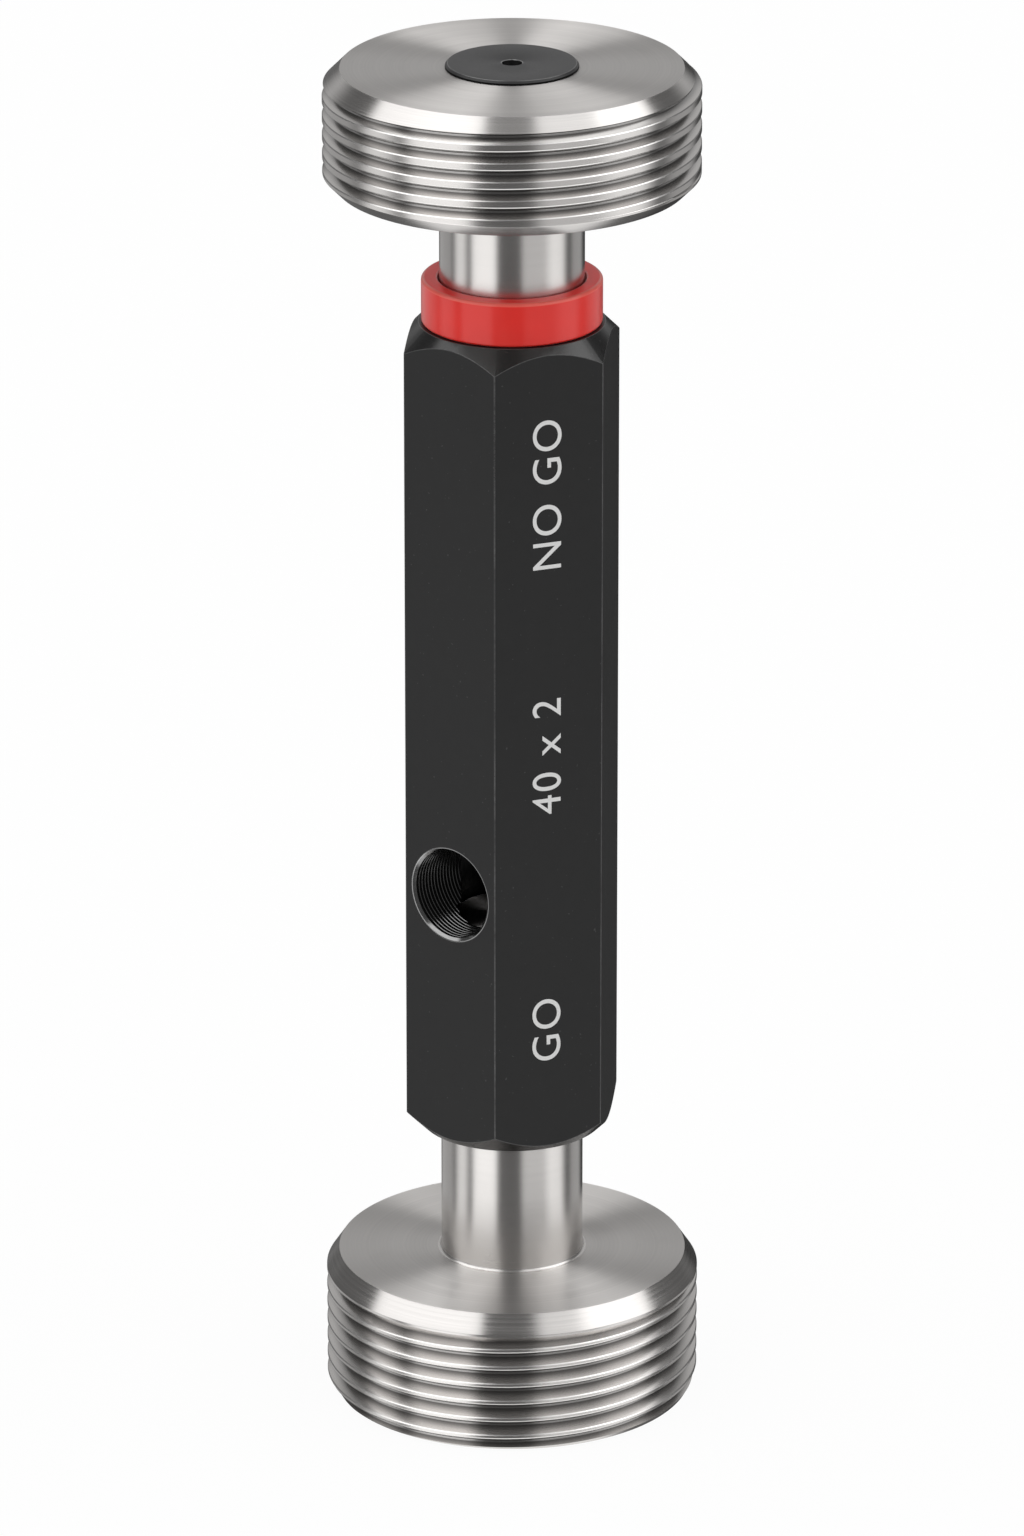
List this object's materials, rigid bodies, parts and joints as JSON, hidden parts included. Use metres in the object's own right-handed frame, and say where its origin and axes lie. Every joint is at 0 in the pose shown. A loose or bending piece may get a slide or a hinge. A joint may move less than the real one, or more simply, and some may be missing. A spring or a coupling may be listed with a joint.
{
  "type": "thread plug gauge",
  "caption": "Double-ended thread plug gauge: a threaded disc on a neck at each end of a hexagonal handle, with a coloured ring at the stop end and a cross hole for a drift.",
  "frame": {"origin": "centre of the GO member's end face, on which the gauge stands", "axes": "+Z along the gauge's axis from the GO end up to the NO GO end; the cross hole for the drift runs along Y, and one pair of the hexagon's flats faces -Y and +Y"},
  "size_m": [0.04, 0.04, 0.1485],
  "materials": {
    "gauge_steel": "hardened, turned and ground bright",
    "handle_black": "satin black anodised",
    "ring_red": "smooth moulded red"
  },
  "bodies": {
    "root": {"handle": "handle_black", "go_member": "gauge_steel", "no_go_member": "gauge_steel", "no_go_ring": "ring_red"}
  },
  "joints": []
}
